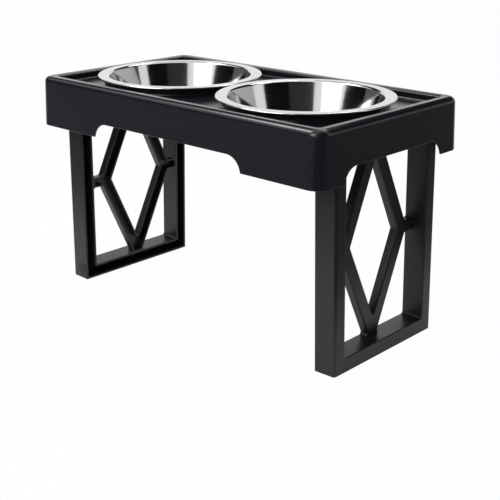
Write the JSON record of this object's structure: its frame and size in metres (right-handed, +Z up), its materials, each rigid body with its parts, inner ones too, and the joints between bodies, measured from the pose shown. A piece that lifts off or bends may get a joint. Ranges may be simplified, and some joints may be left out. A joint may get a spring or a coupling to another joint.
{
  "type": "raised dog feeder",
  "caption": "Raised pet feeder: a moulded tray with drop-in steel bowls, standing on plug-in lattice leg frames that pull out of their sockets.",
  "frame": {"origin": "on the floor under the middle of the tray", "axes": "+X along the tray towards the right bowl, +Y towards the back, +Z up"},
  "size_m": [0.5064, 0.2792, 0.3075],
  "materials": {
    "tray_plastic": "satin",
    "leg_plastic": "satin",
    "bowl_steel": "polished",
    "pad_rubber": "matte"
  },
  "bodies": {
    "tray": {"tray": "tray_plastic"},
    "left_bowl": {"left_bowl": "bowl_steel"},
    "right_bowl": {"right_bowl": "bowl_steel"},
    "left_leg": {"left_leg": "leg_plastic", "left_leg_front_foot": "pad_rubber", "left_leg_back_foot": "pad_rubber", "left_leg_low_side_pad": "pad_rubber", "left_leg_high_side_pad": "pad_rubber"},
    "right_leg": {"right_leg": "leg_plastic", "right_leg_front_foot": "pad_rubber", "right_leg_back_foot": "pad_rubber", "right_leg_low_side_pad": "pad_rubber", "right_leg_high_side_pad": "pad_rubber"}
  },
  "joints": [
    {"name": "left_bowl_lift", "type": "slide", "parent": "tray", "child": "left_bowl", "axis": [0, 0, 1], "range_m": [0, 0.08]},
    {"name": "right_bowl_lift", "type": "slide", "parent": "tray", "child": "right_bowl", "axis": [0, 0, 1], "range_m": [0, 0.08]},
    {"name": "left_leg_pull", "type": "slide", "parent": "tray", "child": "left_leg", "axis": [-0.0262, 0, -0.9997], "range_m": [0, 0.04]},
    {"name": "right_leg_pull", "type": "slide", "parent": "tray", "child": "right_leg", "axis": [0.0262, 0, -0.9997], "range_m": [0, 0.04]}
  ]
}
